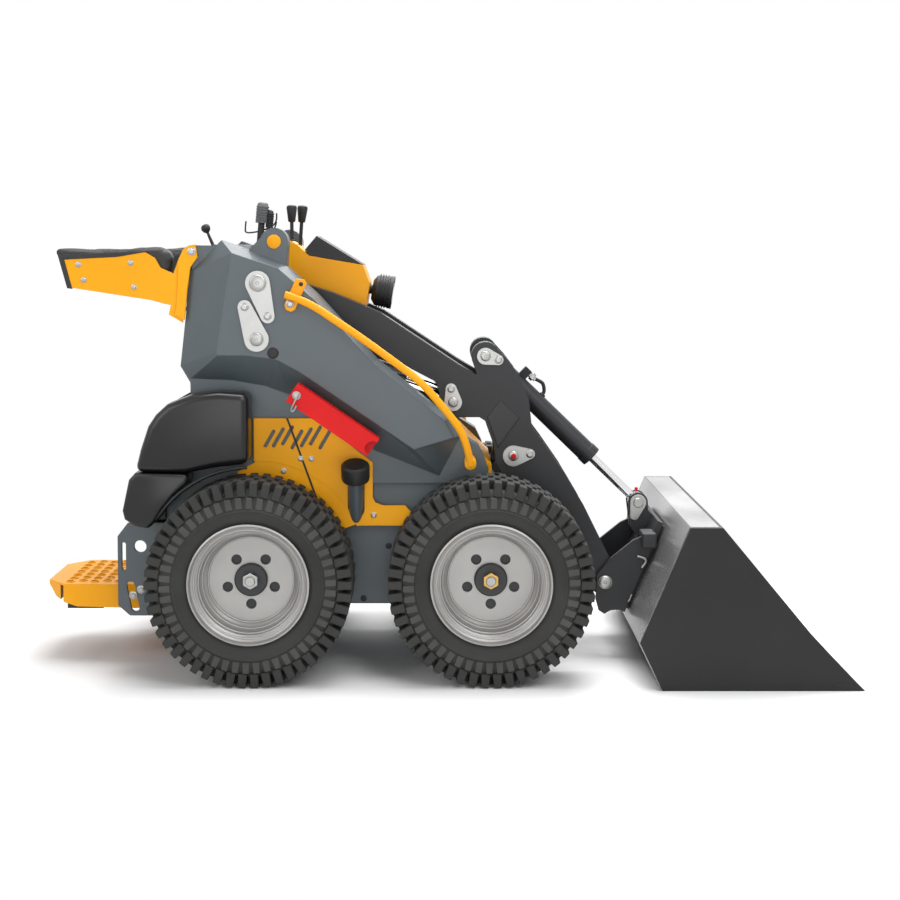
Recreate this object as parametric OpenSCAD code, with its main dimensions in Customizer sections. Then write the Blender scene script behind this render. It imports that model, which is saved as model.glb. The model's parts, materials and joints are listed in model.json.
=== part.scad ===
// Stand-on skid steer loader with bucket, in millimetres.
// X points forward to the bucket, Y to the machine's left, Z up.
// The origin is on the ground, midway along the machine.

/* [Wheels] */
// Rolling radius of a tyre, out to the lug tips
tyre_r = 290; // [260:1:300]
// Number of lugs in each of a tyre's two rows
lugs = 32; // [24:1:40]
// Height of a lug above the tread
lug_h = 26; // [15:1:30]
// Width of a lug round the tread
lug_w = 24; // [16:1:30]
// Width of a tyre
tyre_w = 215; // [180:1:225]
// Distance from the centre line to a tyre's outer face
track_half = 505; // [495:1:515]
// Rear axle's place along the machine
rear_axle_x = -538; // [-550:1:-526]
// Front axle's place along the machine
front_axle_x = 141; // [132:1:146]
// Radius of the rim's flange
rim_r = 171; // [165:1:176]
// Depth of the wheel disc behind the tyre's outer face
disc_inset = 109; // [95:1:115]
// Radius of the bolt circle in the wheel disc
wheel_bolt_r = 70; // [66:1:76]
// Radius of a bolt hole in the wheel disc
wheel_hole_r = 15; // [10:0.5:17]
// Radius of the hub's centre boss
hub_boss_r = 47; // [42:1:50]
// Radius of the wheel shaft
shaft_r = 30; // [24:1:34]

/* [Chassis] */
// Distance from the centre line to the outside of a chassis side plate
plate_y = 262; // [252:1:266]
// Thickness of the chassis plates
plate_t = 12; // [8:1:16]
// Height of the chassis underside
belly_z = 190; // [170:1:210]
// Height of the tub's upper edge, where the towers stand
tub_top_z = 545; // [535:1:552]
// Radius of the lashing holes in the rear plates
lashing_r = 18; // [14:0.5:20]

/* [Towers] */
// Distance from the centre line to a tower's inner face
tower_in_y = 205; // [198:1:212]
// Distance from the centre line to a tower's lower face
tower_mid_y = 275; // [268:1:277]
// Distance from the centre line to a tower's outer face
tower_out_y = 340; // [325:1:350]
// Radius of the boom pivot pins
pivot_pin_r = 25; // [20:1:28]
// Radius of the pins at the foot of the lift cylinders
foot_pin_r = 20; // [16:1:24]

/* [Boom] */
// Distance from the centre line to an arm's inner face
arm_in_y = 95; // [92:1:100]
// Width of an arm
arm_w = 60; // [50:1:64]
// Radius of the arm's boss round the pivot pin
arm_boss_r = 52; // [44:1:54]
// Width of the slot in an arm that takes a rod's eye
slot_w = 32; // [30:1:36]
// Side of the square cross tube
cross_side = 70; // [50:1:80]

/* [Cylinders] */
// Outside radius of a lift cylinder's barrel
lift_barrel_r = 27; // [22:1:28]
// Radius of a lift cylinder's rod
lift_rod_r = 15; // [12:1:18]
// Outside radius of the bucket cylinder's barrel
tilt_barrel_r = 31; // [26:1:34]
// Radius of the bucket cylinder's rod
tilt_rod_r = 14; // [12:1:18]
// Width of a rod's eye
eye_w = 28; // [22:1:29]

/* [Bucket] */
// Half of the bucket's width
bucket_half = 520; // [480:1:530]
// Thickness of the bucket's shell
bucket_t = 8; // [5:0.5:12]
// Place of the cutting edge's tip along the machine
lip_x = 1178; // [1150:1:1190]

/* [Platform] */
// Place of the platform's rear edge along the machine
platform_x = -1178; // [-1190:1:-1150]
// Half of the platform's width
platform_half = 190; // [170:1:230]
// Height of the platform's deck
deck_z = 232; // [220:1:245]
// Thickness of the deck plate
deck_t = 5; // [3:0.5:8]

/* [Clearances] */
// Gap between pieces that seat on each other
seat = 0.3; // [0.2:0.05:0.5]
// Gap round a turning pin
run = 0.3; // [0.2:0.05:0.5]

/* [Hidden] */
$fn = 64;

grey = [0.36, 0.40, 0.42];
dark = [0.17, 0.17, 0.18];
black = [0.08, 0.08, 0.08];
yellow = [0.98, 0.66, 0.06];
silver = [0.80, 0.80, 0.79];
red = [0.90, 0.12, 0.12];

bend_extra = 0.5;
axle_z = tyre_r;
disc_y = track_half - disc_inset;
disc_t = 8;
arm_mid_y = arm_in_y + arm_w / 2;
arm_out_y = arm_in_y + arm_w;

// Pin centres in the side view, as [x, z]
boom_pivot = [-521, 1128];
lift_foot = [-525, 968];
lift_head = [36, 771];
tilt_foot = [132, 908];
lower_pin = [215, 611];
bucket_pivot = [489, 235];
tilt_head = [602, 452];

lift_dir = lift_head - lift_foot;
lift_len = norm(lift_dir);
lift_ang = atan2(lift_dir[1], lift_dir[0]);
tilt_dir = tilt_head - tilt_foot;
tilt_len = norm(tilt_dir);
tilt_ang = atan2(tilt_dir[1], tilt_dir[0]);

// Line of the bucket's back, from its heel upwards
heel = [553, 131];
back_top = [690, 456];
back_dir = (back_top - heel) / norm(back_top - heel);
back_nrm = [-back_dir[1], back_dir[0]];

// Side view helpers

// Extrudes a side view outline from y0 to y1 across the machine
module across(y0, y1) {
    translate([0, max(y0, y1), 0])
        rotate([90, 0, 0])
            linear_extrude(abs(y1 - y0))
                children();
}

// Draws a child as it stands on the right side, or mirrored for the left side
module on_side(right) {
    if (right)
        children();
    else
        mirror([0, 1, 0])
            children();
}

// Round bar across the machine at a side view point
module cross_bar(p, r, y0, y1) {
    across(y0, y1)
        translate(p)
            circle(r);
}

// Flat drop shape between a large and a small round end
module drop2d(p, q, rp, rq) {
    d = norm(q - p);
    a = atan2(q[1] - p[1], q[0] - p[0]);
    t = acos((rp - rq) / d);
    translate(p)
        circle(rp);
    translate(q)
        circle(rq);
    polygon([
        for (s = [t, -t]) p + rp * [cos(a + s), sin(a + s)],
        for (s = [-t, t]) q + rq * [cos(a + s), sin(a + s)]
    ]);
}

// Round-ended slot between two points
module slot2d(p, q, r) {
    a = atan2(q[1] - p[1], q[0] - p[0]);
    polygon([
        for (t = [-90 : 15 : 90]) q + r * [cos(a + t), sin(a + t)],
        for (t = [90 : 15 : 270]) p + r * [cos(a + t), sin(a + t)]
    ]);
}

// Round tube through a list of points, with a slightly fuller ball at each bend
module tube(points, r) {
    for (i = [0 : len(points) - 2]) {
        v = points[i + 1] - points[i];
        translate(points[i])
            rotate([0, acos(v[2] / norm(v)), atan2(v[1], v[0])])
                cylinder(h = norm(v), r = r);
    }
    for (i = [1 : len(points) - 2])
        translate(points[i])
            sphere(r + bend_extra);
}

// Solid between two outlines with the same number of points, in two planes across the machine
module loft(outline_a, ya, outline_b, yb) {
    n = len(outline_a);
    polyhedron(
        points = concat(
            [for (p = outline_a) [p[0], ya, p[1]]],
            [for (p = outline_b) [p[0], yb, p[1]]]),
        faces = concat(
            [[for (i = [0 : n - 1]) i]],
            [[for (i = [n - 1 : -1 : 0]) n + i]],
            [for (i = [0 : n - 1]) [i, n + i, (i + 1) % n]],
            [for (i = [0 : n - 1]) [n + i, n + (i + 1) % n, (i + 1) % n]]));
}

// Running gear

// Puts a wheel piece, drawn round the Y axis for the right side, at one axle
module at_wheel(x, right) {
    on_side(right)
        translate([x, 0, axle_z])
            children();
}

// Turns a profile of [radius, distance from the centre line] round the axle on the right side
module turned(profile) {
    rotate([90, 0, 0])
        rotate_extrude($fn = 96)
            polygon(profile);
}

module tyre(x, right) {
    out = track_half;
    in = track_half - tyre_w;
    mid = (out + in) / 2;
    bead = rim_r - 16;
    base = tyre_r - lug_h;
    lug_r = sqrt(tyre_r * tyre_r - lug_w * lug_w / 4);
    color(black)
        at_wheel(x, right) {
            turned([
                [bead, out - 30], [rim_r + 5, out - 22], [rim_r + 28, out - 6], [rim_r + 39, out],
                [rim_r + 45, out - 6], [base - 12, out - 15], [base, out - 31], [base, in + 31],
                [base - 12, in + 15], [rim_r + 45, in + 6], [rim_r + 39, in], [rim_r + 28, in + 6],
                [rim_r + 5, in + 22], [bead, in + 30]
            ]);
            for (i = [0 : lugs - 1]) {
                rotate([0, 360 / lugs * i, 0])
                    translate([base - 9, -out + 8, -lug_w / 2])
                        cube([lug_r - base + 9, out - mid - 10, lug_w]);
                rotate([0, 360 / lugs * (i + 0.5), 0])
                    translate([base - 9, -mid + 2, -lug_w / 2])
                        cube([lug_r - base + 9, mid - in - 10, lug_w]);
            }
        }
}

module rim(x, right) {
    out = track_half - 30;
    in = track_half - tyre_w + 30;
    bed = rim_r - 16 - seat;
    inner = bed - 9;
    color(silver)
        at_wheel(x, right)
            difference() {
                turned([
                    [bed, in], [bed, out], [rim_r - 2, out + 6], [rim_r, out + 16],
                    [rim_r - 5, out + 18], [rim_r - 10, out + 8], [inner, out - 6],
                    [inner - 4, disc_y + 34], [inner - 14, disc_y + 20], [inner - 26, disc_y + disc_t],
                    [hub_boss_r + seat, disc_y + disc_t], [hub_boss_r + seat, disc_y],
                    [inner - 22, disc_y], [inner - 2, disc_y + 14], [inner, in]
                ]);
                for (i = [0 : 4])
                    rotate([0, 72 * i + 18, 0])
                        translate([wheel_bolt_r, -disc_y - disc_t - 10, 0])
                            rotate([-90, 0, 0])
                                cylinder(h = disc_t + 20, r = wheel_hole_r);
            }
}

module hub(x, right) {
    flange_r = wheel_bolt_r + wheel_hole_r + 10;
    color(black)
        at_wheel(x, right) {
            turned([
                [0, plate_y - 60], [shaft_r, plate_y - 60], [shaft_r, disc_y - 16],
                [flange_r, disc_y - 16], [flange_r, disc_y - seat], [hub_boss_r, disc_y - seat],
                [hub_boss_r, disc_y + 16], [hub_boss_r - 4, disc_y + 20], [0, disc_y + 20]
            ]);
            translate([0, -disc_y - 20, 0])
                rotate([90, 0, 0]) {
                    cylinder(h = 16, r = 22, $fn = 6);
                    cylinder(h = 24, r = 11);
                }
        }
}

module wheel_motors() {
    nose_r = shaft_r + 18;
    color(dark)
        for (x = [rear_axle_x, front_axle_x], right = [true, false])
            at_wheel(x, right)
                turned([
                    [0, 130], [66, 130], [66, plate_y - plate_t - seat], [nose_r, plate_y - plate_t - seat],
                    [nose_r, plate_y + 50], [shaft_r + run, plate_y + 50],
                    [shaft_r + run, plate_y - 66], [0, plate_y - 66]
                ]);
}

// Chassis

bulkhead_x = -856;
tub_front_x = 225;
tub_front = [[150, tub_top_z], [tub_front_x, 400], [tub_front_x, belly_z]];

module side_plate2d() {
    nose_r = shaft_r + 18;
    difference() {
        polygon(concat(
            [[-910, belly_z - 36], [-944, belly_z - 6], [-944, 388], [-914, 427], [-800, 427],
             [-800, tub_top_z]],
            tub_front,
            [[-800, belly_z], [-830, belly_z - 36]]));
        for (x = [rear_axle_x, front_axle_x])
            translate([x, axle_z])
                circle(nose_r + seat);
        translate([-878, 358])
            circle(lashing_r);
        slot2d([-926, 294], [-926, 364], 6);
        slot2d([-907, 244], [-894, 178], 12);
    }
}

module chassis() {
    inner = plate_y - plate_t;
    color(grey) {
        for (s = [-1, 1])
            across(s * plate_y, s * inner)
                side_plate2d();
        across(-inner - 1, inner + 1) {
            translate([bulkhead_x, belly_z])
                square([tub_front_x - bulkhead_x - 1, plate_t]);
            translate([bulkhead_x, belly_z])
                square([plate_t, 230]);
            polygon([
                [tub_front_x - plate_t, belly_z], tub_front[2], tub_front[1], tub_front[0],
                tub_front[0] - [plate_t, 0], tub_front[1] - [plate_t, 0]
            ]);
        }
    }
}

engine_z = belly_z + plate_t + seat;
engine_h = 480;

module engine() {
    color(dark)
        difference() {
            translate([-760, -190, engine_z])
                cube([430, 380, engine_h]);
            translate([rear_axle_x, 0, axle_z])
                rotate([90, 0, 0])
                    cylinder(h = 1000, r = 76, center = true);
        }
}

// Towers

// Edge of the tower's lower face, from the rear top round the front and back along the lower band
lower_edge = [
    [-632, 1250], [-455, 1185], [-355, 1092], [-187, 906], [18, 740], [60, 686], [-4, 566],
    [-190, 640], [-385, 765], [-440, 803], [-508, 828], [-604, 845], [-725, 850], [-753, 887],
    [-722, 1160]
];
// The same edge on the outer face, point for point
outer_edge = [
    [-594, 1213], [-463, 1169], [-363, 1083], [-193, 899], [12, 733], [37, 686], [-77, 652],
    [-154, 705], [-349, 838], [-407, 877], [-471, 911], [-557, 922], [-638, 922], [-641, 930],
    [-596, 1206]
];
hump = [-481, 1246];
hip_ear = [-706, 1216];

module tower_core2d() {
    polygon([
        [-632, 1250], [-455, 1185], [-355, 1092], [-187, 906], [18, 740], [60, 686], [109, 655],
        [130, 611], [140, 569], [140, tub_top_z + seat], [-725, tub_top_z + seat], [-725, 839],
        [-753, 887], [-722, 1160]
    ]);
    translate(hump)
        circle(40);
    polygon([[-519, 1258], [-560, 1215], [-445, 1175], [-441, 1244]]);
    translate(hip_ear)
        circle(20);
    polygon([[-724, 1208], [-714, 1150], [-640, 1235], [-700, 1235]]);
}

module tower_flare() {
    loft(outer_edge, -tower_out_y, lower_edge, -tower_mid_y + 1);
}

module tower(right) {
    color(grey)
        on_side(right)
            difference() {
                union() {
                    across(-tower_mid_y, -tower_in_y)
                        tower_core2d();
                    tower_flare();
                }
                cross_bar(boom_pivot, pivot_pin_r + seat, -tower_out_y - 10, 0);
                cross_bar(lift_foot, foot_pin_r + seat, -tower_out_y - 10, 0);
            }
}

column_y = arm_in_y - 9;
column_z = engine_z + engine_h + seat;

module tower_pins() {
    head = tower_out_y + 12;
    color(silver)
        for (right = [true, false])
            on_side(right) {
                cross_bar(boom_pivot, pivot_pin_r, -head, -column_y - seat);
                cross_bar(lift_foot, foot_pin_r, -head, -column_y - seat);
            }
}

module tower_lock_plates() {
    y0 = tower_out_y + seat;
    color(silver)
        for (right = [true, false])
            on_side(right)
                difference() {
                    across(-y0 - 8, -y0) {
                        drop2d(boom_pivot, [-493, 1034], 35, 20);
                        drop2d(lift_foot, [-558, 1060], 35, 20);
                    }
                    cross_bar(boom_pivot, pivot_pin_r + seat, -y0 - 20, 0);
                    cross_bar(lift_foot, foot_pin_r + seat, -y0 - 20, 0);
                }
}

// Side panels and covers

arch_r = tyre_r + 32;

module side_panel(right) {
    y0 = tower_mid_y + seat;
    slot_dir = [cos(60), sin(60)];
    color(yellow)
        on_side(right)
            across(-y0 - 8, -y0)
                difference() {
                    polygon([
                        [-542, 736], [-360, 736], [-198, 607], [-198, 505], [-190, 490], [-168, 482],
                        [-104, 482], [-89, 465], [-89, 423], [-240, 423], [-290, 400], [-542, 400]
                    ]);
                    translate([rear_axle_x, axle_z])
                        circle(arch_r);
                    slot2d([-246, 470], [-246, 540], 24);
                    for (i = [0 : 6]) {
                        foot = [-512 + 27 * i, 650 + 6 * (i % 3)];
                        slot2d(foot, foot + 56 * slot_dir, 5);
                    }
                }
}

hood_top = [
    [-545, 816], [-633, 821], [-704, 813], [-775, 786], [-808, 756], [-830, 723], [-852, 657],
    [-871, 586], [-880, 576], [-903, 484], [-897, 459], [-868, 440]
];

module fender(right) {
    color(black)
        on_side(right)
            across(-tower_mid_y - 125, -tower_mid_y - seat)
                difference() {
                    polygon(concat(hood_top, [[-800, 432], [-545, 432]]));
                    translate([rear_axle_x, axle_z])
                        circle(arch_r);
                    translate([-545 - seat, 400])
                        square([200, 600]);
                }
}

module rear_hood() {
    color(black)
        across(-tower_mid_y, tower_mid_y)
            polygon(concat(
                [for (i = [4 : len(hood_top) - 1]) hood_top[i]],
                [[-800 - seat, 440], [-800 - seat, 550], [-765, 550], [-765, 789]]));
}

// Operator's station

module console() {
    color(grey)
        across(-tower_in_y + seat, tower_in_y - seat)
            polygon([
                [-735, 800], [-745, 1090], [-715, 1225], [-600, 1238], [-592, 1210], [-600, 1150], [-600, 800]
            ]);
}

module centre_column() {
    color(grey)
        across(-column_y, column_y)
            polygon([
                [-600 + seat, column_z], [-600 + seat, 1150], [-488, 1176], [-440, 1120], [-250, 1040],
                [-250, column_z]
            ]);
}

cowl_front = [[-225, 1055], [-214, 1122]];

module cowl() {
    color(yellow)
        across(-column_y, column_y)
            polygon([
                [-465, 1255], [-488, 1176 + seat], [-440, 1120 + seat], [-250, 1040 + seat], cowl_front[0],
                cowl_front[1], [-234, 1177], [-396, 1205], [-430, 1237]
            ]);
}

module cowl_lid() {
    color(dark)
        across(-column_y + 6, column_y - 6)
            polygon([[-396, 1205 + 2 * seat], [-408, 1223], [-373, 1264], [-234, 1177 + 2 * seat]]);
}

module work_lamp() {
    face = cowl_front[1] - cowl_front[0];
    base = cowl_front[0] + 0.72 * face;
    color(black)
        translate([base[0], 0, base[1]])
            rotate([0, 90 + atan2(face[0], face[1]), 0])
                rotate_extrude()
                    polygon([
                        [0, seat], [14, seat], [14, 8], [30, 8], [46, 20], [48, 58], [50, 60], [50, 72], [44, 72],
                        [42, 66], [0, 66]
                    ]);
}

module joystick() {
    color(black)
        translate([-560, -56, 1165]) {
            cylinder(h = 14, r = 22);
            tube([[0, 0, 10], [-8, 0, 150]], 11);
            translate([-8, 0, 140])
                rotate([0, -6, 0])
                    rotate_extrude()
                        polygon([[0, 0], [17, 0], [20, 14], [19, 50], [14, 60], [0, 60]]);
        }
}

module levers() {
    color(black)
        for (i = [-1, 1])
            translate([-446, 22 * i, 1248.2]) {
                cylinder(h = 62, r = 5);
                translate([0, 0, 48])
                    cylinder(h = 50, r1 = 11, r2 = 17);
            }
}

module throttle_lever() {
    color(black)
        translate([-676, -120, 1232.2])
            rotate([0, -23, 0])
                rotate_extrude()
                    polygon([
                        [0, 0], [5, 0], [5, 42], [10, 45], [13.5, 51], [14, 57], [12, 64], [8, 69], [0, 69]
                    ]);
}

module hip_rest(right) {
    y0 = tower_mid_y + seat;
    color(yellow)
        on_side(right)
            across(-y0 - 8, -y0) {
                polygon([
                    [-1099, 1205], [-852, 1216], [-823, 1199], [-807, 1171], [-770, 1154], [-757, 1190],
                    [-742, 1222], [-722, 1236], [-706, 1238], [-700, 1200], [-728, 1180], [-735, 1115],
                    [-744, 1013], [-784, 1036], [-778, 1064], [-795, 1067], [-835, 1078], [-1074, 1115]
                ]);
            }
}

module hip_pad(right) {
    color(black)
        on_side(right)
            across(-tower_mid_y + seat, -tower_mid_y + 62)
                polygon([
                    [-1119, 1218], [-1110, 1226], [-860, 1232], [-800, 1230], [-775, 1218], [-764, 1195],
                    [-772, 1155], [-830, 1090], [-1080, 1122]
                ]);
}

module platform() {
    front = bulkhead_x - seat;
    color(yellow)
        difference() {
            intersection() {
                across(-platform_half, platform_half)
                    polygon([
                        [platform_x, deck_z - 12], [platform_x, deck_z], [front, deck_z], [front, 159],
                        [-1080, 165], [platform_x + 26, deck_z - 43]
                    ]);
                linear_extrude(deck_z + 10)
                    polygon([
                        [platform_x, -platform_half + 70], [platform_x + 60, -platform_half],
                        [front, -platform_half], [front, platform_half],
                        [platform_x + 60, platform_half], [platform_x, platform_half - 70]
                    ]);
            }
            translate([platform_x + 45, -platform_half + deck_t, 100])
                cube([front - platform_x - 45 - deck_t, 2 * (platform_half - deck_t), deck_z - deck_t - 100]);
            for (i = [0 : 5], j = [0 : 6])
                translate([platform_x + 70 + 36 * i, (j - 3) * 50 + 12 * (i % 2), 0])
                    cylinder(h = deck_z + 10, r = 9);
        }
}

module platform_buffer() {
    color(black)
        translate([-1110, -platform_half + deck_t + seat, 159])
            cube([106, 2 * (platform_half - deck_t - seat), deck_z - deck_t - 159 - seat]);
}

module guard_rail(right) {
    rail_y = -tower_out_y - 22;
    rail_r = 11;
    color(yellow)
        on_side(right) {
            tube([
                [-436, rail_y, 1094], [-364, rail_y, 1066], [-226, rail_y, 973], [-60, rail_y, 851],
                [34, rail_y, 741], [67, rail_y, 685], [84, rail_y, 613]
            ], rail_r);
            cross_bar([-436, 1094], 14, rail_y - 8, -tower_out_y - seat);
            cross_bar([84, 613], 14, rail_y - 8, -tower_mid_y - seat);
        }
}

module safety_strut() {
    y0 = tower_out_y + seat;
    color(red)
        difference() {
            translate([-405, 0, 846])
                rotate([0, 34.5, 0])
                    difference() {
                        union() {
                            translate([0, -y0 - 52, -60])
                                cube([280, 52, 60]);
                            for (x = [40, 230])
                                translate([x, -y0 - 1, -30])
                                    rotate([-90, 0, 0])
                                        cylinder(h = y0 - tower_mid_y - seat + 1, r = 12);
                        }
                        translate([-10, -y0 - 46, -70])
                            cube([300, 40, 64]);
                        translate([280, -y0 - 60, -34])
                            rotate([-90, 0, 0])
                                cylinder(h = 54, r = 22);
                    }
            translate([0, -seat, 0])
                tower_flare();
            translate([-900, -tower_mid_y - seat, 0])
                cube([900, tower_mid_y, 1200]);
        }
}

module fuel_filler() {
    face = tower_mid_y + 8 + 2 * seat;
    color(black)
        difference() {
            translate([-246, -face + 20, 440])
                rotate([22, 0, 0]) {
                    cylinder(h = 140, r = 22);
                    translate([0, 0, 132])
                        cylinder(h = 46, r = 39);
                }
            translate([-400, -face, 300])
                cube([300, 400, 500]);
        }
}

module front_panel() {
    color(yellow)
        across(-tower_in_y + seat, tower_in_y - seat)
            polygon([
                [30, 690], [46, 690], [149, 590], [149, tub_top_z + seat], [139, tub_top_z + seat], [139, 584]
            ]);
}

// Boom

// Points along an arc from angle a to angle b
function arc(c, r, a, b) = [for (i = [0 : 10]) c + r * [cos(a + (b - a) * i / 10), sin(a + (b - a) * i / 10)]];

arm_edge = concat(
    arc(boom_pivot, arm_boss_r, 238, 114),
    [[-447, 1140], [-412, 1126], [-320, 1096], [-237, 1062], [-178, 1036], [47, 887], [108, 850]],
    arc(tilt_foot, 42, 200, 30),
    [[195, 900], [226, 859], [261, 781], [270, 697], [310, 643], [368, 559], [426, 461], [466, 380]],
    arc(bucket_pivot, 45, 21, -159),
    [[380, 300], [189, 547], [163, 588], [160, 634], [143, 680], [131, 715], [114, 726]],
    arc(lift_head, 46, 280, 150),
    [[-16, 832], [-85, 868], [-201, 938], [-345, 1012]]);
bucket_pin_r = 20;
tilt_pin_r = 16;

module boom_arm(right) {
    slot_y = arm_mid_y - slot_w / 2;
    slot_r = 74;
    slot_half = slot_r - 6;
    color(dark)
        on_side(right)
            difference() {
                across(-arm_out_y, -arm_in_y)
                    polygon(arm_edge);
                cross_bar(boom_pivot, pivot_pin_r + run, -arm_out_y - 10, 0);
                cross_bar(bucket_pivot, bucket_pin_r + run, -arm_out_y - 10, 0);
                for (p = [tilt_foot, lower_pin, lift_head])
                    cross_bar(p, tilt_pin_r + seat, -arm_out_y - 10, 0);
                // Slot for the lift cylinder's rod, with room for its eye to swing
                across(-slot_y - slot_w, -slot_y)
                    translate(lift_head)
                        rotate(lift_ang) {
                            circle(slot_r);
                            translate([-90, -slot_half])
                                square([90, 2 * slot_half]);
                        }
            }
}

module boom_cross_tubes() {
    inner = arm_in_y - seat;
    color(dark) {
        across(-inner, inner)
            translate([196, 716])
                rotate(-36)
                    square(cross_side, center = true);
        cross_bar([420, 360], 30, -inner, inner);
    }
}

module boom_pins() {
    head = arm_out_y + 10;
    cheek = (arm_w - slot_w) / 2;
    color(silver)
        for (right = [true, false])
            on_side(right) {
                cross_bar(lower_pin, tilt_pin_r, -head, -arm_in_y);
                cross_bar(lift_head, tilt_pin_r, -head, -arm_out_y + cheek);
                cross_bar(lift_head, tilt_pin_r, -arm_in_y - cheek, -arm_in_y);
            }
    color(silver)
        cross_bar(tilt_foot, tilt_pin_r, -head, head);
}

module boom_lock_plates() {
    y0 = arm_out_y + seat;
    color(silver)
        for (right = [true, false])
            on_side(right)
                difference() {
                    across(-y0 - 6, -y0) {
                        drop2d(tilt_foot, [170, 897], 25, 15);
                        drop2d(lift_head, [30, 811], 26, 16);
                        drop2d(lower_pin, [264, 617], 31, 15);
                    }
                    for (p = [tilt_foot, lift_head, lower_pin])
                        cross_bar(p, tilt_pin_r + seat, -y0 - 20, 0);
                }
}

// Cylinders, drawn along +X from the foot pin and then turned to their place

module along(foot, angle, y) {
    translate([foot[0], y, foot[1]])
        rotate([0, -angle, 0])
            children();
}

module rod_bar(r, x0, x1) {
    translate([x0, 0, 0])
        rotate([0, 90, 0])
            cylinder(h = x1 - x0, r = r);
}

module cylinder_barrel(barrel_r, rod_r, pin_r, eye_r, width, length) {
    difference() {
        union() {
            rotate([90, 0, 0])
                cylinder(h = width, r = eye_r, center = true);
            rod_bar(barrel_r * 0.7, 0, eye_r + 16);
            rod_bar(barrel_r, eye_r + 6, length);
            rod_bar(barrel_r + 2, length - 26, length);
        }
        rotate([90, 0, 0])
            cylinder(h = width + 20, r = pin_r + run, center = true);
        rod_bar(rod_r + run, eye_r + 30, length + 10);
    }
}

module cylinder_rod(rod_r, eye_r, start, length) {
    difference() {
        union() {
            rotate([90, 0, 0])
                translate([0, 0, -eye_w / 2])
                    translate([length, 0, 0])
                        cylinder(h = eye_w, r = eye_r);
            rod_bar(rod_r, start, length - 10);
        }
        translate([length, 0, 0])
            rotate([90, 0, 0])
                cylinder(h = eye_w + 20, r = tilt_pin_r + run, center = true);
    }
}

lift_barrel_len = 440;
tilt_barrel_len = 459;

module lift_barrel(right) {
    color(black)
        on_side(right)
            along(lift_foot, lift_ang, -arm_mid_y)
                cylinder_barrel(lift_barrel_r, lift_rod_r, foot_pin_r, 34, 44, lift_barrel_len);
}

module lift_rod(right) {
    color(silver)
        on_side(right)
            along(lift_foot, lift_ang, -arm_mid_y)
                cylinder_rod(lift_rod_r, 28, 120, lift_len);
}

module tilt_barrel() {
    color(dark)
        along(tilt_foot, tilt_ang, 0)
            cylinder_barrel(tilt_barrel_r, tilt_rod_r, tilt_pin_r, 30, 50, tilt_barrel_len);
}

module tilt_rod() {
    color(silver)
        along(tilt_foot, tilt_ang, 0)
            cylinder_rod(tilt_rod_r, 28, 170, tilt_len);
}

// Bucket

// Point at distance s up the bucket's back and distance d behind it
function behind(s, d) = heel + s * back_dir + d * back_nrm;

plate_gap = 10 + seat;
coupler_t = 16;
lug_in = eye_w / 2 + 6;
lug_t = 14;
cheek_y = arm_out_y + 6;

module coupler() {
    rear = plate_gap + coupler_t;
    color(dark) {
        across(-cheek_y - 12, cheek_y + 12)
            polygon([behind(10, plate_gap), behind(300, plate_gap), behind(300, rear), behind(10, rear)]);
        for (s = [-1, 1]) {
            across(s * cheek_y, s * (cheek_y + 12))
                difference() {
                    polygon([
                        [461, 182], [470, 150], [487, 139], [506, 150], behind(12, rear - 2),
                        behind(270, rear - 2), [571, 360], [504, 306], [464, 257]
                    ]);
                    translate(bucket_pivot)
                        circle(bucket_pin_r + seat);
                }
            across(s * lug_in, s * (lug_in + lug_t))
                difference() {
                    union() {
                        drop2d(tilt_head, behind(250, rear + 20), 30, 26);
                        polygon([behind(210, rear - 2), behind(298, rear - 2), tilt_head, [590, 400]]);
                    }
                    translate(tilt_head)
                        circle(tilt_pin_r + seat);
                }
        }
    }
}

module coupler_pins() {
    color(silver)
        for (right = [true, false])
            on_side(right) {
                cross_bar(bucket_pivot, bucket_pin_r, -cheek_y - 16, -arm_in_y);
                cross_bar(tilt_head, tilt_pin_r, -lug_in - lug_t - 6, -lug_in);
            }
}

module bucket() {
    t = bucket_t;
    floor_back = [615, 0];
    lip_back = [lip_x - 90, 0];
    color(dark) {
        // Folded shell: top flange, back, heel and floor
        across(-bucket_half + t - 1, bucket_half - t + 1)
            polygon([
                [780, 456], back_top, heel, floor_back, lip_back, lip_back + [0, t],
                floor_back + [4, t], heel + [t + 1, 2], back_top + [t - 2, -t], [780, 456 - t]
            ]);
        for (s = [-1, 1])
            across(s * (bucket_half - t), s * bucket_half)
                polygon([
                    [780, 456], back_top, heel, floor_back, [lip_x - 90 + seat, 0],
                    [lip_x - 90 + seat, 20], [lip_x - 22, 20], [1023, 163]
                ]);
        // Pads that the quick-attach plate bears on
        for (s = [-1, 1])
            across(s * 120, s * 150)
                polygon([behind(20, -1), behind(290, -1), behind(290, 10), behind(20, 10)]);
    }
}

module bucket_edge() {
    back_x = lip_x - 90 + 2 * seat;
    color(dark)
        across(-bucket_half, bucket_half)
            polygon([[back_x, 0], [lip_x, 0], [lip_x - 20, 20 - seat], [back_x, 20 - seat]]);
}

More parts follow.
